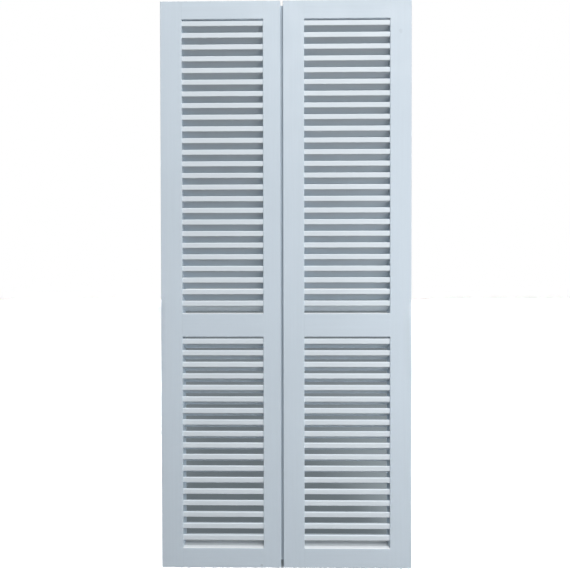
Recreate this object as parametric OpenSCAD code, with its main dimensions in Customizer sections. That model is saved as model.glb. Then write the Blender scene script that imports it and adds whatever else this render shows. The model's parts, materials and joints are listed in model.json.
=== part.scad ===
// Pair of white louvred shutters that fold back on each other.
// Millimetres. The front faces -Y, +X is to the right and +Z is up.
// The origin is at the foot of the pair, in the middle of its width and of the leaf's thickness.

/* [Leaves] */
// Thickness of both leaves, front face to back face
leaf_t = 35; // [30:1:45]
// Gap between the two leaves when the pair is flat
meeting_gap = 6; // [4:0.5:10]
// Width of the left leaf's outer stile, the one the pair hangs by
left_outer_stile_w = 51.5; // [40:0.5:80]
// Clear width between the left leaf's stiles
left_opening_w = 195; // [120:0.5:400]
// Width of the left leaf's meeting stile
left_meeting_stile_w = 42; // [38:0.5:80]
// Width of the right leaf's meeting stile
right_meeting_stile_w = 51; // [38:0.5:80]
// Clear width between the right leaf's stiles
right_opening_w = 205.5; // [120:0.5:400]
// Width of the right leaf's outer stile
right_outer_stile_w = 51.5; // [40:0.5:80]
// Height of the top rails
top_rail_h = 44; // [30:0.5:120]
// Height of the middle rails
mid_rail_h = 56.5; // [30:0.5:120]
// Height of the bottom rails
bottom_rail_h = 48; // [30:0.5:150]
// Radius of the rounded arrises on stiles and rails
arris_r = 1.5; // [0.5:0.1:1.8]

/* [Louvres] */
// Slats in each upper bank
upper_count = 25; // [4:1:40]
// Slats in each lower bank
lower_count = 18; // [4:1:40]
// Height from one slat to the next
slat_pitch = 28; // [22:0.5:36]
// Thickness of a slat, square to its faces
slat_t = 12.2; // [8:0.1:16]
// Slope of the slats, down towards the back, in degrees
slat_slope = 28; // [15:1:35]
// How far the slats' edges lie behind the leaf's two faces
slat_set_back = 2; // [2:0.5:5]
// Radius of the slats' rounded edges
slat_edge_r = 2; // [1:0.1:3]
// Gap between the top rail and the top edge of the first slat below it
upper_head_gap = 2.2; // [1:0.1:12]
// Gap between the middle rail and the top edge of the first slat below it
lower_head_gap = 4.5; // [1:0.1:12]
// Gap between a rail and the lowest point of the slat above it
foot_gap = 3.2; // [0.2:0.1:10]

/* [Joinery] */
// Thickness of the rails' tenons
tenon_t = 11; // [8:1:16]
// Length of the rails' tenons
tenon_len = 22; // [12:1:24]
// Shoulder above and below each tenon
tenon_shoulder = 8; // [4:1:12]
// Depth of the slats' housings in the stiles
housing_depth = 8; // [4:0.5:12]
// Clearance round tenons, slat ends and the glued side of the tongue
joint_fit = 0.1; // [0.05:0.01:0.3]
// Room left at the bottom of mortises and housings
end_room = 0.5; // [0.2:0.1:1]

/* [Meeting tongue] */
// Thickness of the tongue that closes the meeting gap
tongue_t = 8; // [5:0.5:10]
// Depth of the tongue's seat in the left meeting stile
tongue_seat = 8; // [5:0.5:10]
// Reach of the tongue into the right meeting stile
tongue_reach = 5; // [2:0.5:6]
// Radius of the tongue's two free edges
tongue_edge_r = 1.5; // [0.5:0.1:2]
// Distance from the tongue's upper end to the top of the leaves
tongue_top_gap = 4; // [2:1:60]
// Distance from the tongue's lower end to the foot of the leaves
tongue_foot_gap = 11; // [2:1:60]
// Room in front of the tongue in its groove, for the swing
swing_room = 2.5; // [2:0.1:4]
// Room behind and beyond the tongue in its groove
groove_room = 1; // [0.5:0.1:2]

/* [Hinges] */
// Height of a hinge
hinge_h = 60; // [40:1:90]
// Width of a hinge plate, from the pin's axis
plate_w = 30; // [24:1:34]
// Thickness of a hinge plate
plate_t = 2; // [2:0.1:3]
// Radius of a plate's outer corners
plate_corner_r = 4; // [1:0.5:6]
// Outer radius of the hinge's barrel
barrel_r = 4; // [3.5:0.1:5]
// Knuckles in a hinge, an odd number
knuckles = 5; // [3:2:7]
// Axial gap between knuckles
knuckle_gap = 0.3; // [0.2:0.05:0.6]
// Room between a knuckle and the other plate
barrel_room = 0.4; // [0.3:0.05:0.8]
// Radius of the hinge pin
pin_r = 2; // [1.5:0.1:2.2]
// Radial clearance of the pin in its knuckles
pin_fit = 0.05; // [0.02:0.01:0.1]
// Radius of the pin's head
pin_head_r = 3.2; // [2.6:0.1:3.5]
// Height of the pin's head
pin_head_h = 1.6; // [1:0.1:3]
// Distance from the end of a leaf to the middle of the nearest hinge
hinge_inset = 150; // [90:1:250]

/* [Screws] */
// Radius of a screw's countersunk head
screw_head_r = 3.4; // [3:0.1:4]
// Radius of a screw's shank
screw_r = 1.7; // [1.2:0.1:2]
// Length of a screw
screw_len = 18; // [10:1:22]
// Length of a screw's point
screw_point = 4; // [2:0.5:6]
// Clearance round a screw
screw_fit = 0.1; // [0.05:0.01:0.2]
// Distance from the pin's axis to the middle screw
inner_screw = 15; // [12:0.5:18]
// Distance from the pin's axis to the two end screws
outer_screw = 23; // [18:0.5:26]
// Height of the end screws above and below the middle one
screw_rise = 20; // [10:1:24]

/* [Hidden] */
$fn = 48;

paint = [0.84, 0.87, 0.90];
zinc = [0.62, 0.63, 0.65];

// Steps in each rounded corner of an outline, and how far a cut runs past the face it opens
corner_steps = 4;
past = 1;

// Places across the pair
left_leaf_w = left_outer_stile_w + left_opening_w + left_meeting_stile_w;
right_leaf_w = right_meeting_stile_w + right_opening_w + right_outer_stile_w;
pair_w = left_leaf_w + meeting_gap + right_leaf_w;
left_x = -pair_w / 2;
left_opening_x = left_x + left_outer_stile_w;
left_meeting_x = left_opening_x + left_opening_w;
left_edge_x = left_x + left_leaf_w;
right_edge_x = left_edge_x + meeting_gap;
right_opening_x = right_edge_x + right_meeting_stile_w;
right_outer_x = right_opening_x + right_opening_w;
back_y = leaf_t / 2;

// Slat section: how far it runs back and falls, its upright edge, and what the rounding takes off its tips
slat_depth = leaf_t - 2 * slat_set_back;
slat_fall = slat_depth * tan(slat_slope);
slat_edge_h = slat_t / cos(slat_slope);
tip_loss = slat_edge_r * (1 / tan((90 - slat_slope) / 2) - 1);
slat_end = housing_depth - end_room;
slat_outline = [
    [-slat_depth / 2, 0],
    [slat_depth / 2, -slat_fall],
    [slat_depth / 2, slat_edge_h - slat_fall],
    [-slat_depth / 2, slat_edge_h]];

// Heights of the lowest slat in each bank, of the rails and of the leaf
foot_to_edge = slat_fall - tip_loss;
function bank_h(count, head_gap) =
    foot_gap + foot_to_edge + (count - 1) * slat_pitch + slat_edge_h - tip_loss + head_gap;
mid_rail_z = bottom_rail_h + bank_h(lower_count, lower_head_gap);
upper_bank_z = mid_rail_z + mid_rail_h;
top_rail_z = upper_bank_z + bank_h(upper_count, upper_head_gap);
leaf_h = top_rail_z + top_rail_h;
openings = [[bottom_rail_h, mid_rail_z], [upper_bank_z, top_rail_z]];
rails = [[0, bottom_rail_h], [mid_rail_z, mid_rail_h], [top_rail_z, top_rail_h]];
function slats_z(bank_z, count) = [for (i = [0:count - 1]) bank_z + foot_gap + foot_to_edge + i * slat_pitch];
lower_slats_z = slats_z(bottom_rail_h, lower_count);
upper_slats_z = slats_z(upper_bank_z, upper_count);

// Hinge axis, knuckle rows and screw places, measured from the axis
axis_x = left_edge_x + meeting_gap / 2;
axis_y = back_y + barrel_r;
hinges_z = [hinge_inset, leaf_h / 2, leaf_h - hinge_inset];
row_h = hinge_h / knuckles;
knuckle_h = row_h - knuckle_gap;
head_h = screw_head_r - screw_r;
plate_face_y = plate_t - barrel_r;
screw_places = [[inner_screw, 0], [outer_screw, -screw_rise], [outer_screw, screw_rise]];

// Outline with rounded corners. radii gives one radius for each corner, and grow moves the outline outwards.
function unit(v) = v / norm(v);
function bearing(v) = atan2(v[1], v[0]);
function short_turn(a) = a > 180 ? a - 360 : a < -180 ? a + 360 : a;
function corner(before, at, after, r, grow) =
    let (
        a = unit(before - at),
        b = unit(after - at),
        half = acos(a * b) / 2,
        centre = at + unit(a + b) * r / sin(half),
        from = bearing(at + a * r / tan(half) - centre),
        turn = short_turn(bearing(at + b * r / tan(half) - centre) - from))
    [for (i = [0:corner_steps])
        centre + (r + grow) * [cos(from + turn * i / corner_steps), sin(from + turn * i / corner_steps)]];
function rounded(points, radii, grow = 0) =
    let (n = len(points))
    [for (i = [0:n - 1])
        each radii[i] == 0
            ? [points[i]]
            : corner(points[(i + n - 1) % n], points[i], points[(i + 1) % n], radii[i], grow)];

// Prism along X of an outline drawn in Y and Z
module along_x(x, length) {
    translate([x, 0, 0])
        rotate([90, 0, 90])
            linear_extrude(length)
                children();
}

// Cutter that rounds the arris at the origin of a piece that fills +X and +Y, along Z
module arris_cutter(length) {
    linear_extrude(length)
        difference() {
            translate([-past, -past])
                square(arris_r + past);
            translate([arris_r, arris_r])
                circle(arris_r);
        }
}

// Cutters for the front and back arrises along X, at the bottom and the top of a piece
module long_arrises(x, w, z, h) {
    for (face = [0, 1], end = [0, 1])
        mirror([0, face, 0])
            translate([x - past, -back_y, z + end * h])
                mirror([0, 0, end])
                    rotate([90, 0, 90])
                        arris_cutter(w + 2 * past);
}

// Cutters for the arrises along Y at the two ends of a stile's free edge
module end_arrises(x, side) {
    for (end = [0, 1])
        translate([x, back_y + past, end * leaf_h])
            mirror([side > 0 ? 1 : 0, 0, 0])
                mirror([0, 0, end])
                    rotate([90, 0, 0])
                        arris_cutter(leaf_t + 2 * past);
}

// Blank of a stile with its free edge on the left (side -1) or on the right (side 1)
module stile_blank(x, w, side) {
    r = [side < 0 ? arris_r : 0, side > 0 ? arris_r : 0];
    difference() {
        linear_extrude(leaf_h)
            polygon(rounded(
                [[x, -back_y], [x + w, -back_y], [x + w, back_y], [x, back_y]],
                [r[0], r[1], r[1], r[0]]));
        long_arrises(x, w, 0, leaf_h);
        end_arrises(side < 0 ? x : x + w, side);
    }
}

// Mortises, slat housings and rounded arrises in the face at x, which the opening meets.
// into is 1 where the stile lies to the right of that face, and -1 where it lies to the left.
module stile_cuts(x, into) {
    translate([x, 0, 0])
        mirror([into < 0 ? 1 : 0, 0, 0]) {
            for (rail = rails)
                translate([-past, -tenon_t / 2 - joint_fit, rail[0] + tenon_shoulder - joint_fit])
                    cube([
                        past + tenon_len + end_room,
                        tenon_t + 2 * joint_fit,
                        rail[1] - 2 * tenon_shoulder + 2 * joint_fit]);
            for (z = concat(lower_slats_z, upper_slats_z))
                translate([0, 0, z])
                    along_x(-past, past + housing_depth)
                        polygon(rounded(slat_outline, [for (p = slat_outline) slat_edge_r], joint_fit));
            for (opening = openings, face = [0, 1])
                mirror([0, face, 0])
                    translate([0, -back_y, opening[0]])
                        arris_cutter(opening[1] - opening[0]);
        }
}

// Rail with a tenon at each end and rounded arrises
module rail(x, w, place) {
    z = place[0];
    h = place[1];
    difference() {
        union() {
            translate([x, -back_y, z])
                cube([w, leaf_t, h]);
            translate([x - tenon_len, -tenon_t / 2, z + tenon_shoulder])
                cube([w + 2 * tenon_len, tenon_t, h - 2 * tenon_shoulder]);
        }
        long_arrises(x, w, z, h);
    }
}

// Bank of slats between the stiles, with both ends in their housings
module slats(x, w, heights) {
    for (z = heights)
        translate([0, 0, z])
            along_x(x - slat_end, w + 2 * slat_end)
                polygon(rounded(slat_outline, [for (p = slat_outline) slat_edge_r]));
}

// Countersunk screw from its flush head along +Z
module screw_shape(grow, length, point) {
    cylinder(h = head_h, r1 = screw_head_r + grow, r2 = screw_r + grow);
    cylinder(h = length - point, r = screw_r + grow);
    if (point > 0)
        translate([0, 0, length - point])
            cylinder(h = point, r1 = screw_r, r2 = screw_r / 4);
}

// Places its child at each screw of one plate, with +Z into the stile
module at_screws(side) {
    for (place = screw_places)
        translate([side * place[0], plate_face_y, place[1]])
            rotate([90, 0, 0])
                children();
}

// Places its child at each hinge's axis
module at_hinges() {
    for (z = hinges_z)
        at_hinge(z)
            children();
}

module at_hinge(z) {
    translate([axis_x, axis_y, z])
        children();
}

module row_cylinder(row, r, h) {
    translate([0, 0, (row + 0.5) * row_h - hinge_h / 2 - h / 2])
        cylinder(h = h, r = r);
}

// Plate of a hinge with its knuckles: side -1 is the left leaf's, with the outer knuckles, and 1 the right leaf's
module hinge_plate(side) {
    own = side < 0 ? 0 : 1;
    difference() {
        union() {
            translate([0, plate_face_y, 0])
                rotate([90, 0, 0])
                    linear_extrude(plate_t)
                        polygon(rounded(
                            [
                                [0, -hinge_h / 2], [side * plate_w, -hinge_h / 2],
                                [side * plate_w, hinge_h / 2], [0, hinge_h / 2]],
                            [0, plate_corner_r, plate_corner_r, 0]));
            for (row = [own:2:knuckles - 1])
                row_cylinder(row, barrel_r, knuckle_h);
        }
        for (row = [1 - own:2:knuckles - 1])
            row_cylinder(row, barrel_r + barrel_room, row_h + knuckle_gap);
        translate([0, 0, -hinge_h / 2 - past])
            cylinder(h = hinge_h + 2 * past, r = pin_r + pin_fit);
        at_screws(side)
            screw_shape(screw_fit, screw_len, 0);
    }
}

module hinge_pin() {
    top = (hinge_h - knuckle_gap) / 2;
    translate([0, 0, -top])
        cylinder(h = 2 * top, r = pin_r);
    translate([0, 0, top])
        cylinder(h = pin_head_h, r = pin_head_r);
}

// Pilot holes in the stiles' backs, as deep as the screws and a little more
module pilot_holes(side) {
    at_hinges()
        at_screws(side)
            screw_shape(screw_fit, screw_len + end_room, 0);
}

// Pieces of the left leaf
module left_outer_stile() {
    color(paint)
        difference() {
            stile_blank(left_x, left_outer_stile_w, -1);
            stile_cuts(left_opening_x, -1);
        }
}

module left_meeting_stile() {
    color(paint)
        difference() {
            stile_blank(left_meeting_x, left_meeting_stile_w, 1);
            stile_cuts(left_meeting_x, 1);
            translate([left_edge_x - tongue_seat, -tongue_t / 2 - joint_fit, -past])
                cube([tongue_seat + past, tongue_t + 2 * joint_fit, leaf_h + 2 * past]);
            pilot_holes(-1);
        }
}

module left_top_rail() {
    color(paint)
        rail(left_opening_x, left_opening_w, rails[2]);
}

module left_mid_rail() {
    color(paint)
        rail(left_opening_x, left_opening_w, rails[1]);
}

module left_bottom_rail() {
    color(paint)
        rail(left_opening_x, left_opening_w, rails[0]);
}

module left_upper_louvres() {
    color(paint)
        slats(left_opening_x, left_opening_w, upper_slats_z);
}

module left_lower_louvres() {
    color(paint)
        slats(left_opening_x, left_opening_w, lower_slats_z);
}

module meeting_tongue() {
    seat_x = left_edge_x - tongue_seat;
    tip_x = right_edge_x + tongue_reach;
    color(paint)
        translate([0, 0, tongue_foot_gap])
            linear_extrude(leaf_h - tongue_foot_gap - tongue_top_gap)
                polygon(rounded(
                    [
                        [seat_x, -tongue_t / 2], [tip_x, -tongue_t / 2],
                        [tip_x, tongue_t / 2], [seat_x, tongue_t / 2]],
                    [0, tongue_edge_r, tongue_edge_r, 0]));
}

// Pieces of the right leaf
module right_meeting_stile() {
    color(paint)
        difference() {
            stile_blank(right_edge_x, right_meeting_stile_w, -1);
            stile_cuts(right_opening_x, -1);
            translate([right_edge_x - past, -tongue_t / 2 - swing_room, -past])
                cube([
                    past + tongue_reach + groove_room,
                    tongue_t + swing_room + groove_room,
                    leaf_h + 2 * past]);
            pilot_holes(1);
        }
}

module right_outer_stile() {
    color(paint)
        difference() {
            stile_blank(right_outer_x, right_outer_stile_w, 1);
            stile_cuts(right_outer_x, 1);
        }
}

module right_top_rail() {
    color(paint)
        rail(right_opening_x, right_opening_w, rails[2]);
}

module right_mid_rail() {
    color(paint)
        rail(right_opening_x, right_opening_w, rails[1]);
}

module right_bottom_rail() {
    color(paint)
        rail(right_opening_x, right_opening_w, rails[0]);
}

module right_upper_louvres() {
    color(paint)
        slats(right_opening_x, right_opening_w, upper_slats_z);
}

module right_lower_louvres() {
    color(paint)
        slats(right_opening_x, right_opening_w, lower_slats_z);
}

// Hinges on the backs of the meeting stiles
module hinge_piece(place) {
    color(zinc)
        at_hinge(hinges_z[place])
            children();
}

module left_hinge_screws() {
    color(zinc)
        at_hinges()
            at_screws(-1)
                screw_shape(0, screw_len, screw_point);
}

module right_hinge_screws() {
    color(zinc)
        at_hinges()
            at_screws(1)
                screw_shape(0, screw_len, screw_point);
}

left_outer_stile();
left_meeting_stile();
left_top_rail();
left_mid_rail();
left_bottom_rail();
left_upper_louvres();
left_lower_louvres();
meeting_tongue();
right_meeting_stile();
right_outer_stile();
right_top_rail();
right_mid_rail();
right_bottom_rail();
right_upper_louvres();
right_lower_louvres();
hinge_piece(0) hinge_plate(-1);  // lower_hinge_left_plate
hinge_piece(0) hinge_plate(1);  // lower_hinge_right_plate
hinge_piece(0) hinge_pin();  // lower_hinge_pin
hinge_piece(1) hinge_plate(-1);  // middle_hinge_left_plate
hinge_piece(1) hinge_plate(1);  // middle_hinge_right_plate
hinge_piece(1) hinge_pin();  // middle_hinge_pin
hinge_piece(2) hinge_plate(-1);  // upper_hinge_left_plate
hinge_piece(2) hinge_plate(1);  // upper_hinge_right_plate
hinge_piece(2) hinge_pin();  // upper_hinge_pin
left_hinge_screws();
right_hinge_screws();
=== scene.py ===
# %% [markdown]
# # A folding pair of louvred shutters
# Two painted leaves stand side by side. Each has two stiles, three rails and two banks of sloping
# slats, and the pair folds on three butt hinges at the back. Their construction comes ready made
# from a CAD model, in metres, so this lesson is about looks: paint that shows the grain under it,
# plated hinges, real screws, and a studio.

import json
import math

import bmesh
import bpy
from mathutils import Matrix, Vector

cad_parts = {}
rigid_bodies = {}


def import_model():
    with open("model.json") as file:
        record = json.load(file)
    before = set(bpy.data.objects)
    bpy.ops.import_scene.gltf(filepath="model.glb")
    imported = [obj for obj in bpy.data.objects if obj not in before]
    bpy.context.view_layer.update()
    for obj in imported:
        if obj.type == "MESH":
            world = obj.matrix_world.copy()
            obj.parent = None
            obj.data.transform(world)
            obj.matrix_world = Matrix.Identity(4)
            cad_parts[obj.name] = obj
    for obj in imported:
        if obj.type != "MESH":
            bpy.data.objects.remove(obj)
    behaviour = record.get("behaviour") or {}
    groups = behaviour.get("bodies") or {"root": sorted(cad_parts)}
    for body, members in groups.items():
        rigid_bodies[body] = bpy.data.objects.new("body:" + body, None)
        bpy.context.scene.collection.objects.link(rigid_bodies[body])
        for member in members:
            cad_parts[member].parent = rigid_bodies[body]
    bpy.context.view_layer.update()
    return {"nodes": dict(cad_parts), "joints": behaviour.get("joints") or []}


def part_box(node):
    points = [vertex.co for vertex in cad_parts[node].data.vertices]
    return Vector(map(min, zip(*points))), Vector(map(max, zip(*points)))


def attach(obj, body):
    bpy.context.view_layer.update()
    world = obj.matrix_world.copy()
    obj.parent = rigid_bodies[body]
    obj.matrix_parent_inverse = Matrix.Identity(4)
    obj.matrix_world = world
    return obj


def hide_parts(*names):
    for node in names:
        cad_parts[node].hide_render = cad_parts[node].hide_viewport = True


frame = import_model()
nodes = frame["nodes"]


# %% [markdown]
# ## Reading sizes from the frame
# A finish often needs to know where a board begins and ends. We could type those numbers in, but
# they would go wrong when the model changes. So we ask the frame for the box of a node and keep the
# few places that we need. The pitch of the slats follows from the two banks: the upper one is
# taller than the lower one by the pitches of its extra slats.

# %% Places that the finishes use
upper_slats = 25
lower_slats = 18

leaf_front_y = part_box("left_outer_stile")[0].y
leaf_back_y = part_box("left_outer_stile")[1].y
leaf_top_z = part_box("left_outer_stile")[1].z
rail_ends = {
    "left": (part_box("left_outer_stile")[1].x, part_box("left_meeting_stile")[0].x),
    "right": (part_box("right_meeting_stile")[1].x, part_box("right_outer_stile")[0].x),
}
upper_low, upper_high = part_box("left_upper_louvres")
lower_low, lower_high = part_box("left_lower_louvres")
upper_h = upper_high.z - upper_low.z
lower_h = lower_high.z - lower_low.z
slat_pitch = (upper_h - lower_h) / (upper_slats - lower_slats)


def as_mm(metres):
    """A length in millimetres, for printing."""
    return round(metres * 1000, 2)


print("leaf", as_mm(leaf_top_z), "mm tall and", as_mm(leaf_back_y - leaf_front_y), "mm thick")
print("one slat every", as_mm(slat_pitch), "mm")

# %% [markdown]
# ## Helpers for node trees
# Shader nodes can be added one by one with nodes.new and links.new, but the wiring soon hides the
# idea. One helper adds a node and fills its sockets, either with a value or with a link. Three more
# write arithmetic, a soft step and stretched noise, and the last two make a node group and place it.

# %% Helpers for shader nodes
def add(tree, kind, inputs=None, **settings):
    """Adds a node, sets its options, then sets or links its inputs by name or by number."""
    made = tree.nodes.new(kind)
    for name, value in settings.items():
        setattr(made, name, value)
    for name, value in (inputs or {}).items():
        if isinstance(value, bpy.types.NodeSocket):
            tree.links.new(value, made.inputs[name])
        else:
            made.inputs[name].default_value = value
    return made


def calc(tree, operation, *values):
    """One Math node, as its output socket."""
    return add(tree, "ShaderNodeMath", dict(enumerate(values)), operation=operation).outputs[0]


def step(tree, value, low, high, at_low=0.0, at_high=1.0):
    """A soft step from at_low to at_high as the value goes from low to high."""
    ends = {"Value": value, "From Min": low, "From Max": high, "To Min": at_low, "To Max": at_high}
    return add(tree, "ShaderNodeMapRange", ends, interpolation_type="SMOOTHSTEP").outputs["Result"]


def noise(tree, position, waves, detail=2.0, roughness=0.5):
    """Noise with so many waves a metre along x, y and z."""
    scaled = add(tree, "ShaderNodeVectorMath", {0: position, 1: waves}, operation="MULTIPLY")
    inputs = {"Vector": scaled.outputs[0], "Scale": 1.0, "Detail": detail, "Roughness": roughness}
    return add(tree, "ShaderNodeTexNoise", inputs).outputs["Fac"]


def new_group(name, inputs, outputs):
    """An empty node group with those sockets, as the group, what comes in and what goes out."""
    group = bpy.data.node_groups.new(name, "ShaderNodeTree")
    for label, kind in inputs:
        group.interface.new_socket(label, in_out="INPUT", socket_type="NodeSocket" + kind)
    for label, kind in outputs:
        group.interface.new_socket(label, in_out="OUTPUT", socket_type="NodeSocket" + kind)
    given = group.nodes.new("NodeGroupInput").outputs
    return group, given, group.nodes.new("NodeGroupOutput").inputs


def use(tree, group, **inputs):
    """A group placed in a material, as its output sockets."""
    return add(tree, "ShaderNodeGroup", inputs, node_tree=group).outputs


print("helpers ready: add, calc, step, noise, new_group, use")

# %% [markdown]
# ## The grain under the paint
# Planed softwood is never quite flat. Its harder late wood stands proud by a hair, and two coats of
# paint soften that without hiding it. A wave texture would look too even, so we stretch noise: few
# waves along the board and many across it. The group expects positions that were turned so that the
# grain runs along x.

# %% Node group: grain under paint
growth_waves = (5.0, 190.0, 190.0)
growth_range = (0.3, 0.7)
grain_tones = (0.988, 1.006)
pore_waves = (24.0, 1100.0, 1100.0)
pore_share = 0.35


def make_grain_group():
    group, given, out = new_group(
        "Grain under paint", [("Position", "Vector")], [("Height", "Float"), ("Tone", "Float")])
    growth = noise(group, given["Position"], growth_waves, detail=3.0)
    pores = noise(group, given["Position"], pore_waves, detail=1.0)
    height = calc(group, "MULTIPLY_ADD", pores, pore_share, growth)
    group.links.new(height, out["Height"])
    group.links.new(step(group, growth, *growth_range, *grain_tones), out["Tone"])
    return group


grain_group = make_grain_group()
print("group:", grain_group.name)

# %% [markdown]
# ## The paint film
# A satin coat is not one flat colour. It lies thicker here and thinner there, its gloss changes in
# patches the size of a hand, and up close it has the fine ripple of a roller. Each of these is a
# noise of its own size: clouds of a few to the metre, patches of some twenty, a ripple of about a
# millimetre.

# %% Node group: paint film
cloud_waves = (3.0, 3.0, 3.0)
cloud_range = (0.3, 0.7)
cloud_tones = (0.982, 1.012)
patch_waves = (21.0, 21.0, 21.0)
patch_range = (0.25, 0.75)
satin_roughness = (0.50, 0.62)
ripple_waves = (850.0, 850.0, 850.0)
film_sockets = [("Tone", "Float"), ("Roughness", "Float"), ("Height", "Float")]


def make_film_group():
    group, given, out = new_group("Paint film", [("Position", "Vector")], film_sockets)
    clouds = noise(group, given["Position"], cloud_waves)
    patches = noise(group, given["Position"], patch_waves, detail=3.0)
    ripple = noise(group, given["Position"], ripple_waves, detail=1.0)
    group.links.new(step(group, clouds, *cloud_range, *cloud_tones), out["Tone"])
    group.links.new(step(group, patches, *patch_range, *satin_roughness), out["Roughness"])
    group.links.new(ripple, out["Height"])
    return group


film_group = make_film_group()
print("group:", film_group.name)

# %% [markdown]
# ## Rubbed arrises
# Hands and cloths wear a frame on its arrises first. Edges can be found by the Geometry node's
# pointiness, but that needs a finely divided mesh. Here the faces lie square to the axes, so only a
# rounded arris has a normal that points between two of them. The products of the normal's parts are
# zero on every face and rise on the arris, and noise breaks them up.

# %% Node group: rubbed arris
arris_range = (0.12, 0.45)
worn_waves = (34.0, 34.0, 34.0)
worn_range = (0.56, 0.74)


def make_arris_group():
    group, given, out = new_group("Rubbed arris", [("Position", "Vector")], [("Mask", "Float")])
    normal = add(group, "ShaderNodeNewGeometry").outputs["Normal"]
    parts = add(group, "ShaderNodeSeparateXYZ", {"Vector": normal}).outputs
    x, y, z = [calc(group, "ABSOLUTE", parts[axis]) for axis in "XYZ"]
    xy, yz, zx = [calc(group, "MULTIPLY", *pair) for pair in ((x, y), (y, z), (z, x))]
    between = calc(group, "ADD", calc(group, "ADD", xy, yz), zx)
    worn = noise(group, given["Position"], worn_waves, detail=4.0, roughness=0.65)
    on_arris = step(group, between, *arris_range)
    mask = calc(group, "MULTIPLY", on_arris, step(group, worn, *worn_range))
    group.links.new(mask, out["Mask"])
    return group


arris_group = make_arris_group()
print("group:", arris_group.name)

# %% [markdown]
# ## Dust and small marks
# Dust settles where a face looks up, which here means the slats and the tops of the rails: it hardly
# changes the colour, but it dulls the gloss. A rub mark is a small dark blot at one place. We
# measure how far a point lies from the mark's centre in units of its reach, and noise bends that
# distance so that the blot is not a clean oval.

# %% Node groups: settled dust and rub mark
up_range = (0.55, 0.9)
drift_waves = (60.0, 60.0, 60.0)
drift_range = (0.35, 0.75)
mark_sockets = [("Position", "Vector"), ("Centre", "Vector"), ("Reach", "Vector")]
mark_waves = (330.0, 330.0, 330.0)
mark_bend = 0.9
mark_range = (0.75, 1.35)


def make_dust_group():
    group, given, out = new_group("Settled dust", [("Position", "Vector")], [("Mask", "Float")])
    normal = add(group, "ShaderNodeNewGeometry").outputs["Normal"]
    up = add(group, "ShaderNodeSeparateXYZ", {"Vector": normal}).outputs["Z"]
    drift = noise(group, given["Position"], drift_waves, detail=4.0)
    mask = calc(group, "MULTIPLY", step(group, up, *up_range), step(group, drift, *drift_range))
    group.links.new(mask, out["Mask"])
    return group


def make_mark_group():
    group, given, out = new_group("Rub mark", mark_sockets, [("Mask", "Float")])
    ends = {0: given["Position"], 1: given["Centre"]}
    offset = add(group, "ShaderNodeVectorMath", ends, operation="SUBTRACT").outputs[0]
    share = {0: offset, 1: given["Reach"]}
    scaled = add(group, "ShaderNodeVectorMath", share, operation="DIVIDE").outputs[0]
    far = add(group, "ShaderNodeVectorMath", {0: scaled}, operation="LENGTH").outputs["Value"]
    ragged = noise(group, given["Position"], mark_waves)
    bent = calc(group, "MULTIPLY_ADD", ragged, mark_bend, far)
    group.links.new(step(group, bent, *mark_range, 1.0, 0.0), out["Mask"])
    return group


dust_group = make_dust_group()
mark_group = make_mark_group()
print("groups:", dust_group.name, "and", mark_group.name)

# %% [markdown]
# ## Hairlines at the joints
# A rail's tenons shrink a little in their mortises, and the paint over the shoulder breaks into a
# hairline. Modelling a tenth of a millimetre would cost many faces, so the crack will be a narrow
# dip in the bump. Only the rails have it, so this mask is a plain function and not a group: it is 1
# where x is that of an end of the rail.

# %% Mask for the hairlines
crack_half_w = 0.00035


def joint_crack(tree, position, start_x, end_x):
    """1 on the hairlines where a rail meets its stiles, and 0 elsewhere."""
    x = add(tree, "ShaderNodeSeparateXYZ", {"Vector": position}).outputs["X"]
    near_start = calc(tree, "ABSOLUTE", calc(tree, "SUBTRACT", x, start_x))
    near_end = calc(tree, "ABSOLUTE", calc(tree, "SUBTRACT", x, end_x))
    return step(tree, calc(tree, "MINIMUM", near_start, near_end), 0.0, crack_half_w, 1.0, 0.0)


print("hairlines", as_mm(2 * crack_half_w), "mm wide")

# %% [markdown]
# ## Colours that change over a surface
# Every material starts the same way, with one Principled shader and the object's own coordinates, so
# a helper sets that up. Tones multiply one another and then the colour, so each effect stays
# readable. Where a mask lies over a colour, a Mix node fades to another one.

# %% Helpers for materials
def new_material(name):
    """A material with its Principled shader and the object's own coordinates."""
    material = bpy.data.materials.new(name)
    material.use_nodes = True
    tree = material.node_tree
    tree.nodes.clear()
    shader = add(tree, "ShaderNodeBsdfPrincipled")
    add(tree, "ShaderNodeOutputMaterial", {"Surface": shader.outputs["BSDF"]})
    return material, tree, shader, add(tree, "ShaderNodeTexCoord").outputs["Object"]


def mixed(tree, factor, first, second, blend="MIX"):
    """Two colours in one Mix node. Its colour sockets are numbers 6 and 7, and 2 on the way out."""
    inputs = {"Factor": factor, 6: first, 7: second}
    return add(tree, "ShaderNodeMix", inputs, data_type="RGBA", blend_type=blend).outputs[2]


def tinted(tree, colour, tone):
    """A colour times a tone that changes over the surface."""
    parts = {"Red": tone, "Green": tone, "Blue": tone}
    shade = add(tree, "ShaderNodeCombineColor", parts).outputs["Color"]
    return mixed(tree, 1.0, colour, shade, blend="MULTIPLY")


def faded(tree, colour, tint, mask):
    """A colour that gives way to a tint under a mask."""
    return mixed(tree, mask, colour, tint)


def dimmed(tree, tone, mask, least):
    """A tone that falls to a share of itself where the mask is 1."""
    return calc(tree, "MULTIPLY", tone, step(tree, mask, 0.0, 1.0, 1.0, least))


print("helpers ready: new_material, mixed, tinted, faded, dimmed")

# %% [markdown]
# ## Painted boards
# Every board gets the same recipe with its own values: the film's clouds, the grain along the board,
# dust on top, and marks where this pair has them. A Mapping node turns a stile's upright grain to
# lie along x, where the group wants it.

# %% Recipe for a painted board
paint_bump = 0.00011
paint_specular = 0.35
ripple_share = 0.3
dust_tone = 0.97
dust_roughness = 0.12
crack_tone = 0.9
crack_depth = 1.5
bare_tint = (0.60, 0.60, 0.57, 1.0)
bare_share = 0.35


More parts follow.
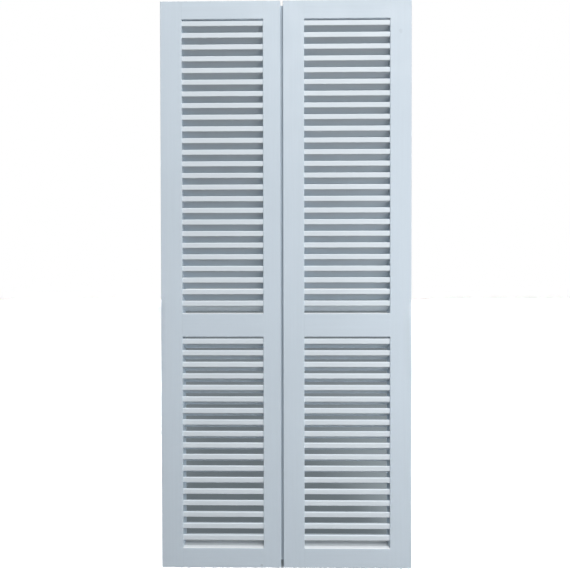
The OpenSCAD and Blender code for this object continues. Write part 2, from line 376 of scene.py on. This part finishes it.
def painted_board(name, colour, grain_turn, marks=(), board_tone=None, cracks=None, ledge=None,
                  arrises=True):
    """Paint for one kind of board, with the marks, tones and hairlines that it is given."""
    material, tree, shader, position = new_material(name)
    turn = {"Vector": position, "Rotation": grain_turn}
    turned = add(tree, "ShaderNodeMapping", turn).outputs["Vector"]
    film = use(tree, film_group, Position=position)
    grain = use(tree, grain_group, Position=turned)
    dust = use(tree, dust_group, Position=position)["Mask"]

    tone = dimmed(tree, calc(tree, "MULTIPLY", film["Tone"], grain["Tone"]), dust, dust_tone)
    height = calc(tree, "MULTIPLY_ADD", film["Height"], ripple_share, grain["Height"])
    if board_tone:
        tone = calc(tree, "MULTIPLY", tone, board_tone(tree, position))
    for centre, reach, depth in marks:
        mark = use(tree, mark_group, Position=position, Centre=centre, Reach=reach)["Mask"]
        tone = dimmed(tree, tone, mark, 1.0 - depth)
    if cracks:
        crack = joint_crack(tree, position, *cracks)
        tone = dimmed(tree, tone, crack, crack_tone)
        height = calc(tree, "MULTIPLY_ADD", crack, -crack_depth, height)

    # Painted shade and a painted highlight on a rail's upper face, where a ledge function is given.
    if ledge:
        colour = ledge(tree, position, colour)
    paint = tinted(tree, colour, tone)
    if arrises:
        rubbed = use(tree, arris_group, Position=position)["Mask"]
        paint = faded(tree, paint, bare_tint, calc(tree, "MULTIPLY", rubbed, bare_share))
    roughness = calc(tree, "MULTIPLY_ADD", dust, dust_roughness, film["Roughness"])
    relief = {"Height": height, "Distance": paint_bump, "Strength": 1.0}
    bump = add(tree, "ShaderNodeBump", relief)
    shader.inputs["Specular IOR Level"].default_value = paint_specular
    tree.links.new(paint, shader.inputs["Base Color"])
    tree.links.new(roughness, shader.inputs["Roughness"])
    tree.links.new(bump.outputs["Normal"], shader.inputs["Normal"])
    return material


print("recipe for painted boards ready")

# %% [markdown]
# ## Stiles and the tongue
# The stiles are the upright boards, and the tongue is the thin strip that closes the gap between the
# leaves. Both have upright grain. One grey smudge shows high on the outer stile of the right leaf,
# so it goes into this paint. The tongue sits deep in the narrow gap, and its paint is a darker
# grey-white: painted shade for the dark of that gap.

# %% Paint for upright boards
upright = (0.0, math.radians(90.0), 0.0)
frame_white = (0.655, 0.747, 0.832, 1.0)
# Darker than frame_white: painted shade for the dark of the narrow gap between the leaves.
tongue_shade_grey = (0.53, 0.60, 0.66, 1.0)
smudge_centre = (0.275, leaf_front_y, 1.290)
smudge_reach = (0.007, 0.010, 0.009)
smudge_depth = 0.07

smudge = (smudge_centre, smudge_reach, smudge_depth)
stile_paint = painted_board("Stile paint", frame_white, upright, marks=[smudge])
tongue_paint = painted_board("Tongue paint", tongue_shade_grey, upright)
print("materials:", stile_paint.name, "and", tongue_paint.name)

# %% [markdown]
# ## Rails
# The rails lie level, and so does their grain. A rail's upper face has painted shade and a painted
# highlight: grey under the slats, where they shade it, and white along the front edge, where light
# falls. The normal finds the ledge. The foot of the left leaf has a chip. The two leaves differ in
# width, so each has its own rail paint, with the hairlines at its own joints.

# %% Paint for rails
level = (0.0, 0.0, 0.0)
ledge_range = (0.3, 0.9)
# The rails' upper faces carry painted light and shade: a white painted highlight along the front edge
# and grey painted shade under the slats.
highlight_strip_w = 0.008
highlight_strip_fade = 0.004
ledge_highlight_white = (0.90, 0.93, 0.95, 1.0)
ledge_shade_grey = (0.53, 0.56, 0.58, 1.0)
chip_centre = (-0.0594, leaf_front_y, 0.0070)
chip_reach = (0.006, 0.008, 0.0028)
chip_depth = 0.3


def ledge_shade_and_highlight(tree, position, colour):
    """Painted shade in grey under the slats and a painted highlight in white at the front of a rail's
    upper face. The leaf's top is left out.
    """
    normal = add(tree, "ShaderNodeNewGeometry").outputs["Normal"]
    up = add(tree, "ShaderNodeSeparateXYZ", {"Vector": normal}).outputs["Z"]
    at = add(tree, "ShaderNodeSeparateXYZ", {"Vector": position}).outputs
    below_top = calc(tree, "LESS_THAN", at["Z"], upper_high.z)
    on_ledge = step(tree, calc(tree, "MULTIPLY", up, below_top), *ledge_range)
    highlight_strip_y = leaf_front_y + highlight_strip_w
    under_slat_shade = step(tree, at["Y"], highlight_strip_y, highlight_strip_y + highlight_strip_fade)
    return faded(tree, colour, faded(tree, ledge_highlight_white, ledge_shade_grey, under_slat_shade), on_ledge)


rail_marks = {"left": [(chip_centre, chip_reach, chip_depth)], "right": []}
rail_paint = {
    leaf: painted_board(leaf.capitalize() + " rail paint", frame_white, level, rail_marks[leaf],
                        cracks=rail_ends[leaf], ledge=ledge_shade_and_highlight)
    for leaf in ("left", "right")}
print("materials:", [paint.name for paint in rail_paint.values()])

# %% [markdown]
# ## Slats
# Each slat is a board of its own and took the paint in its own way. We undo its slope, so that all
# its points come to nearly one height, divide that by the pitch and round down: that is its number,
# and white noise turns each number into a tone. The faces slope, so the arris trick would take a
# whole face for an edge and is left out here.

# %% Paint for slats
# Lighter than frame_white: painted light, for the extra light that the slats' upturned front edges
# catch.
louvre_lit_white = (0.767, 0.840, 0.901, 1.0)
slat_slope = math.radians(28.0)
slat_tones = (0.985, 1.01)


def slat_tone(tree, position):
    """A tone of its own for each slat."""
    at = add(tree, "ShaderNodeSeparateXYZ", {"Vector": position}).outputs
    level_z = calc(tree, "MULTIPLY_ADD", at["Y"], math.tan(slat_slope), at["Z"])
    number = calc(tree, "FLOOR", calc(tree, "DIVIDE", level_z, slat_pitch))
    draw = add(tree, "ShaderNodeTexWhiteNoise", {"W": number}, noise_dimensions="1D")
    return step(tree, draw.outputs["Value"], 0.0, 1.0, *slat_tones)


louvre_paint = painted_board(
    "Louvre paint", louvre_lit_white, level, board_tone=slat_tone, arrises=False)
print("material:", louvre_paint.name)

# %% [markdown]
# ## Zinc plate
# Hinges and screws are steel with a thin coat of zinc. The plating grows in small crystals, so it
# shows faint spangles, and the rolled strip under it keeps fine scratches. A texture of cells gives
# the spangles and noise the stains. Both change the roughness as well as the tone, because metal
# shows its surface through its reflections. Stretched noise in the bump gives the scratches.

# %% Node group and materials for zinc
spangle_cells = 420.0
spangle_tones = (0.94, 1.04)
spangle_roughness = 0.07
stain_waves = (55.0, 55.0, 55.0)
stain_range = (0.3, 0.75)
stain_tones = (1.0, 0.86)
stain_roughness = (0.30, 0.44)
scratch_waves = (2600.0, 2600.0, 60.0)
zinc_sockets = [("Tone", "Float"), ("Roughness", "Float"), ("Height", "Float")]
hinge_grey = (0.60, 0.61, 0.63, 1.0)
hinge_bump = 0.00003
screw_grey = (0.56, 0.57, 0.59, 1.0)
screw_bump = 0.00002


def make_zinc_group():
    group, given, out = new_group("Zinc plate", [("Position", "Vector")], zinc_sockets)
    cells = add(group, "ShaderNodeTexVoronoi", {"Vector": given["Position"], "Scale": spangle_cells})
    parts = add(group, "ShaderNodeSeparateColor", {"Color": cells.outputs["Color"]}).outputs
    spangle = parts["Red"]
    stain = noise(group, given["Position"], stain_waves, detail=4.0, roughness=0.6)
    scratch = noise(group, given["Position"], scratch_waves, detail=2.0)
    bright = step(group, spangle, 0.0, 1.0, *spangle_tones)
    tone = calc(group, "MULTIPLY", bright, step(group, stain, *stain_range, *stain_tones))
    dull = step(group, stain, *stain_range, *stain_roughness)
    group.links.new(tone, out["Tone"])
    group.links.new(calc(group, "MULTIPLY_ADD", spangle, spangle_roughness, dull), out["Roughness"])
    group.links.new(scratch, out["Height"])
    return group


def plated(name, colour, bump):
    """Zinc of one colour, with scratches of one depth."""
    material, tree, shader, position = new_material(name)
    plate = use(tree, zinc_group, Position=position)
    relief = {"Height": plate["Height"], "Distance": bump, "Strength": 1.0}
    shader.inputs["Metallic"].default_value = 1.0
    tree.links.new(tinted(tree, colour, plate["Tone"]), shader.inputs["Base Color"])
    tree.links.new(plate["Roughness"], shader.inputs["Roughness"])
    tree.links.new(add(tree, "ShaderNodeBump", relief).outputs["Normal"], shader.inputs["Normal"])
    return material


zinc_group = make_zinc_group()
hinge_zinc = plated("Hinge zinc", hinge_grey, hinge_bump)
screw_zinc = plated("Screw zinc", screw_grey, screw_bump)
print("materials:", hinge_zinc.name, "and", screw_zinc.name)

# %% [markdown]
# ## Dressing the CAD nodes
# A node that already has the right shape keeps its mesh. Its name says what it is, so a short rule
# picks the material, and the object's own slot takes it.

# %% Give each CAD node its finish
def finish_for(name):
    """The material for a CAD node, from its name."""
    if name.endswith("_rail"):
        return rail_paint[name.split("_")[0]]
    if name.endswith("_louvres"):
        return louvre_paint
    if name.endswith("_stile"):
        return stile_paint
    if name == "meeting_tongue":
        return tongue_paint
    return screw_zinc if name.endswith("_screws") else hinge_zinc


for name, piece in nodes.items():
    piece.material_slots[0].material = finish_for(name)
print({material.name: material.users for material in bpy.data.materials if material.users})

# %% [markdown]
# ## A countersunk screw
# The CAD screws are plain pegs. A real one has a cross recess in its head and a thread. The head
# starts as a circle round a cross of twelve points; bridging the two loops fills the flat rim, and
# pushing the cross down and in makes the tapered recess. Extruding the circle the same way makes the
# cone, the shank and the point.

# %% Model the screw's head and shank
head_r = 0.0034
head_h = 0.0017
head_sides = 24
shank_r = 0.0017
screw_len = 0.018
point_len = 0.004
point_taper = 0.25
recess_arm = 0.0019
recess_half_w = 0.00048
recess_depth = 0.0012
recess_taper = 0.62


def cross_points(arm, half_w):
    """The twelve corners of a cross, in order round it."""
    quarter = [Vector((half_w, arm, 0)), Vector((half_w, half_w, 0)), Vector((arm, half_w, 0))]
    turns = [Matrix.Rotation(-turn * math.pi / 2, 3, "Z") for turn in range(4)]
    return [turn @ corner for turn in turns for corner in quarter]


def new_loop(bm, points):
    """A closed loop of edges through the points."""
    verts = [bm.verts.new(point) for point in points]
    return [bm.edges.new(ends) for ends in zip(verts, verts[1:] + verts[:1])]


def push(bm, edges, shift, scale):
    """Extrudes a loop of edges, moves it along z and scales it about the screw's axis."""
    made = bmesh.ops.extrude_edge_only(bm, edges=edges)["geom"]
    verts = [part for part in made if isinstance(part, bmesh.types.BMVert)]
    bmesh.ops.scale(bm, verts=verts, vec=(scale, scale, 1.0))
    bmesh.ops.translate(bm, verts=verts, vec=(0.0, 0.0, shift))
    return [part for part in made if isinstance(part, bmesh.types.BMEdge)], verts


def screw_body():
    bm = bmesh.new()
    outline = new_loop(bm, cross_points(recess_arm, recess_half_w))
    bmesh.ops.subdivide_edges(bm, edges=outline, cuts=1)
    cross = list(bm.edges)
    rim = bmesh.ops.create_circle(bm, segments=head_sides, radius=head_r)["verts"]
    rim_edges = list({edge for vert in rim for edge in vert.link_edges})
    bmesh.ops.bridge_loops(bm, edges=cross + rim_edges)
    recess_edges, _ = push(bm, cross, -recess_depth, recess_taper)
    bmesh.ops.contextual_create(bm, geom=recess_edges)
    cone, _ = push(bm, rim_edges, -head_h, shank_r / head_r)
    shank, _ = push(bm, cone, -(screw_len - point_len - head_h), 1.0)
    _, tip = push(bm, shank, -point_len, point_taper)
    bmesh.ops.contextual_create(bm, geom=tip)
    bmesh.ops.recalc_face_normals(bm, faces=bm.faces)
    return bm


sample = screw_body()
open_edges = sum(edge.is_boundary for edge in sample.edges)
print("screw body:", len(sample.faces), "faces, open edges:", open_edges)
sample.free()

# %% [markdown]
# ## The thread
# A thread is a small triangle swept along a helix. The spin operator turns a profile about an axis,
# and with dvec it also moves it a little at each step, which is just that. Filling the two open ends
# closes the ridge. Its foot is sunk in the shank, so that no slit shows between them.

# %% Sweep the thread
thread_pitch = 0.0014
thread_rise = 0.0005
thread_foot = 0.00084
thread_sunk = 0.0002
thread_start = -0.0030
thread_turns = 8
steps_a_turn = 14


def add_thread(bm):
    inner_r = shank_r - thread_sunk
    profile = new_loop(bm, [
        (inner_r, 0.0, thread_start),
        (shank_r + thread_rise, 0.0, thread_start - thread_foot / 2),
        (inner_r, 0.0, thread_start - thread_foot)])
    corners = {vert for edge in profile for vert in edge.verts}
    last = bmesh.ops.spin(
        bm, geom=profile + list(corners), cent=(0, 0, 0), axis=(0, 0, 1),
        steps=thread_turns * steps_a_turn, angle=2 * math.pi * thread_turns,
        dvec=(0, 0, -thread_pitch / steps_a_turn))["geom_last"]
    bmesh.ops.contextual_create(bm, geom=profile)
    last_edges = [part for part in last if isinstance(part, bmesh.types.BMEdge)]
    bmesh.ops.contextual_create(bm, geom=last_edges)
    bmesh.ops.recalc_face_normals(bm, faces=bm.faces)


screw = screw_body()
add_thread(screw)
single_screw = bpy.data.meshes.new("single")
screw.to_mesh(single_screw)
screw.free()
print("one screw:", len(single_screw.polygons), "faces")

# %% [markdown]
# ## Setting the screws
# Each hinge plate has three screws, one near the pin and two further out. Nobody stops a screw at
# the same angle twice, so each has a turn of its own. All the screws of one leaf go into one mesh,
# which stands for the CAD node of plain pegs and rides on the same leaf.

# %% Set the screws in their plates
hinge_places = ("lower", "middle", "upper")
pin_axis = Vector(frame["joints"][0]["pos_m"])
# Each spot is a place across from the pin, a height from the plate's middle and a turn in degrees.
screw_spots = [(0.015, 0.0, 0.0), (0.023, -0.020, -42.0), (0.023, 0.020, 117.0)]


def hinge_height(place):
    low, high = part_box(place + "_hinge_left_plate")
    return (low.z + high.z) / 2


def screw_set(leaf, side):
    """All screws of one leaf in one mesh, with their heads flush in the plates."""
    head_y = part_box(leaf + "_hinge_screws")[1].y
    facing_back = Matrix.Rotation(-math.pi / 2, 4, "X")
    bm = bmesh.new()
    for place in hinge_places:
        for across, rise, turn in screw_spots:
            spot = Vector((pin_axis.x + side * across, head_y, hinge_height(place) + rise))
            turned = facing_back @ Matrix.Rotation(math.radians(turn), 4, "Z")
            first = len(bm.verts)
            bm.from_mesh(single_screw)
            bm.verts.ensure_lookup_table()
            set_in = Matrix.Translation(spot) @ turned
            bmesh.ops.transform(bm, matrix=set_in, verts=bm.verts[first:])
    mesh = bpy.data.meshes.new(leaf + "_cross_head_screws")
    bm.to_mesh(mesh)
    bm.free()
    mesh.materials.append(screw_zinc)
    piece = bpy.data.objects.new(mesh.name, mesh)
    bpy.context.scene.collection.objects.link(piece)
    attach(piece, leaf + "_leaf")
    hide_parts(leaf + "_hinge_screws")
    print(piece.name, len(mesh.polygons), "faces")


screw_set("left", -1)
screw_set("right", 1)
bpy.data.meshes.remove(single_screw)

# %% [markdown]
# ## Camera
# The photograph was taken from close by with a wide lens, almost level and square to the leaves. Its
# focal length in pixels becomes a lens in millimetres by way of the sensor's width. A camera looks
# down its own -z axis, so a turn of ninety degrees about x makes it look along +y. Small turns about
# x, y and z then tilt it down, lean it and swing it to the left. The Standard view transform shows
# colours as they are written.

# %% Place the camera
photo_px = 570
focal_px = 411.0
sensor_mm = 36.0
camera_place = (0.0071, -1.0054, 0.6929)
tilt_down = math.radians(0.495)
lean_right = math.radians(0.09)
turn_left = math.radians(0.543)

camera_data = bpy.data.cameras.new("Camera")
camera_data.sensor_width = sensor_mm
camera_data.lens = sensor_mm * focal_px / photo_px
camera = bpy.data.objects.new("Camera", camera_data)
camera.location = camera_place
camera.rotation_euler = (math.pi / 2 - tilt_down, lean_right, turn_left)
bpy.context.scene.collection.objects.link(camera)
bpy.context.scene.camera = camera
bpy.context.scene.view_settings.view_transform = "Standard"
print("lens", round(camera_data.lens, 2), "mm")

# %% [markdown]
# ## Floor
# The floor is a pale sheet under the leaves. Straight views of it see its full colour, and so do
# reflections. Light that bounces off it towards the paint sees a darker sheet, or the undersides of
# the slats would glow. Far off the floor turns paler, so that no line shows where it ends against
# the white of the world. The strip of floor between the two stiles is a sheet of its own, so that
# the lamps can leave it in the dark of the gap.

# %% Lay the floor
floor_half = 15.0
floor_drop = 0.0003
gap_drop = 0.00015
floor_roughness = 0.9
seen_floor = (0.336, 0.378, 0.404, 1.0)
far_floor = (0.504, 0.567, 0.606, 1.0)
far_range = (10.0, 14.0)
bounce_floor = (0.018, 0.0163, 0.0145, 1.0)


def seen_ray(tree):
    """1 for camera rays and for rays through gloss and glass, else 0."""
    path = add(tree, "ShaderNodeLightPath").outputs
    gloss = calc(tree, "MAXIMUM", path["Is Glossy Ray"], path["Is Transmission Ray"])
    return calc(tree, "MAXIMUM", path["Is Camera Ray"], gloss)


def floor_paint():
    material, tree, shader, position = new_material("Pale floor")
    away = add(tree, "ShaderNodeVectorMath", {0: position}, operation="LENGTH").outputs["Value"]
    pale = faded(tree, seen_floor, far_floor, step(tree, away, *far_range))
    colour = faded(tree, bounce_floor, pale, seen_ray(tree))
    tree.links.new(colour, shader.inputs["Base Color"])
    shader.inputs["Roughness"].default_value = floor_roughness
    shader.inputs["Specular IOR Level"].default_value = 0.0
    return material


def lay_sheet(name, low, high, z):
    """A level sheet of floor from corner to corner, as a piece of the stage."""
    corners = [(low[0], low[1]), (high[0], low[1]), (high[0], high[1]), (low[0], high[1])]
    bm = bmesh.new()
    bmesh.ops.contextual_create(bm, geom=[bm.verts.new((x, y, z)) for x, y in corners])
    mesh = bpy.data.meshes.new(name)
    bm.to_mesh(mesh)
    bm.free()
    mesh.materials.append(pale_floor)
    sheet = bpy.data.objects.new(name, mesh)
    bpy.context.scene.collection.objects.link(sheet)
    return sheet


pale_floor = floor_paint()
floor = lay_sheet("floor", (-floor_half, -floor_half), (floor_half, floor_half), -floor_drop)
gap_low = (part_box("left_meeting_stile")[1].x, leaf_front_y)
gap_high = (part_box("right_meeting_stile")[0].x, leaf_back_y)
lay_sheet("gap_floor", gap_low, gap_high, -gap_drop)
print("floor", 2 * floor_half, "m wide, in the gap", as_mm(gap_high[0] - gap_low[0]), "mm wide")

# %% [markdown]
# ## World
# Daylight falls mostly from above, so the sky grows from nothing at the horizon to its full strength
# overhead: faces that look up are bright and the slats' undersides stay dark. The camera sees plain
# white in its place, and so do reflections.

# %% Light the scene from the sky
sky_colour = (0.93, 0.97, 1.0, 1.0)
zenith_strength = 0.70
sky_falloff = 1.5
seen_white = (1.0, 1.0, 1.0, 1.0)

world = bpy.data.worlds.new("Studio")
bpy.context.scene.world = world
world.use_nodes = True
tree = world.node_tree
tree.nodes.clear()
direction = add(tree, "ShaderNodeTexCoord").outputs["Generated"]
upward = add(tree, "ShaderNodeSeparateXYZ", {"Vector": direction}).outputs["Z"]
rising = calc(tree, "POWER", calc(tree, "MAXIMUM", upward, 0.0), sky_falloff)
strength = calc(tree, "MULTIPLY", rising, zenith_strength)
sky = add(tree, "ShaderNodeBackground", {"Color": sky_colour, "Strength": strength})
white = add(tree, "ShaderNodeBackground", {"Color": seen_white, "Strength": 1.0})
either = {0: seen_ray(tree), 1: sky.outputs[0], 2: white.outputs[0]}
backdrop = add(tree, "ShaderNodeMixShader", either).outputs[0]
add(tree, "ShaderNodeOutputWorld", {"Surface": backdrop})
print("world:", world.name, "with", len(tree.nodes), "nodes")

# %% [markdown]
# ## Lamps on the leaves
# A large soft lamp in front is the key, a small one on the right fills, and two lamps behind show
# the back. Light linking says what a lamp may reach: the lamps behind leave out the floor, and one
# of them the slats, which would show it from the front.

# %% Place the soft lamps
leaf_middle = (0.0, 0.0, 0.70)
fill_aim = (0.1, 0.0, 0.40)
warm_white = (1.0, 0.97, 0.90)


def place_lamp(name, kind, place, energy):
    data = bpy.data.lights.new(name, kind)
    data.energy = energy
    lamp = bpy.data.objects.new(name, data)
    lamp.location = place
    bpy.context.scene.collection.objects.link(lamp)
    return lamp


def soft_lamp(name, place, aim, size, energy):
    lamp = place_lamp(name, "AREA", place, energy)
    lamp.data.size = size
    lamp.rotation_mode = "QUATERNION"
    lamp.rotation_quaternion = (Vector(aim) - Vector(place)).to_track_quat("-Z", "Y")
    return lamp


def light_only(lamp, objects):
    """Light linking: the lamp reaches these objects and no others."""
    lamp.light_linking.receiver_collection = bpy.data.collections.new(lamp.name + " reaches")
    for piece in objects:
        lamp.light_linking.receiver_collection.objects.link(piece)


def light_all_but(lamp, objects):
    """Light linking: the lamp reaches everything apart from these objects."""
    light_only(lamp, objects)
    for entry in lamp.light_linking.receiver_collection.collection_objects:
        entry.light_linking.link_state = "EXCLUDE"


soft_lamp("Key lamp", place=(0.80, -3.60, 3.80), aim=leaf_middle, size=2.0, energy=178.0)
soft_lamp("Fill lamp", place=(1.00, -0.80, 0.55), aim=fill_aim, size=0.7, energy=3.9)
back = soft_lamp("Back lamp", place=(-1.1, 1.9, 2.2), aim=leaf_middle, size=1.2, energy=20.0)
back.data.color = warm_white
frame_back = soft_lamp(
    "Frame back lamp", place=(0.9, 2.1, 1.6), aim=leaf_middle, size=1.2, energy=26.0)
frame_back.visible_glossy = False

louvres = [piece for name, piece in nodes.items() if name.endswith("_louvres")]
light_all_but(back, [floor])
light_all_but(frame_back, [floor] + louvres)

# %% [markdown]
# ## Lamps on the floor
# A sheet needs more light than paint to look white, so the floor has a row of small lamps to itself.
# They stand low, just behind the camera, so the leaves hide the shadow that they throw, and the
# floor seen between the slats stays dark. A point lamp fades with distance, and a low one also
# strikes a far floor at a flatter angle. The Light Falloff node's constant output undoes the first,
# and the ray's length undoes the second.

# %% Place the floor lamps
floor_lamp_r = 0.006
floor_lamp_colour = (1.0, 0.889, 0.832)
floor_lamp_energy = 40.0
floor_lamp_strength = 14.5
floor_row_x = (-0.024, -0.012, 0.0, 0.012, 0.024)
behind_camera = 0.10
floor_row_y = camera_place[1] - behind_camera
floor_row_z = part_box("left_bottom_rail")[1].z - floor_lamp_r


def floor_lamp(name, place):
    """A small round lamp that lights a level floor evenly, near and far."""
    lamp = place_lamp(name, "POINT", place, floor_lamp_energy)
    lamp.data.shadow_soft_size = floor_lamp_r
    lamp.data.color = floor_lamp_colour
    lamp.data.use_nodes = True
    tree = lamp.data.node_tree
    falloff = add(tree, "ShaderNodeLightFalloff", {"Strength": floor_lamp_strength})
    reach = add(tree, "ShaderNodeLightPath").outputs["Ray Length"]
    even = calc(tree, "MULTIPLY", falloff.outputs["Constant"], reach)
    tree.links.new(even, tree.nodes["Emission"].inputs["Strength"])
    light_only(lamp, [floor])


for number, aside in enumerate(floor_row_x, 1):
    place = (camera_place[0] + aside, floor_row_y, floor_row_z)
    floor_lamp("Floor lamp " + str(number), place)
print(len(floor_row_x), "floor lamps", as_mm(floor_row_z), "mm above the floor")
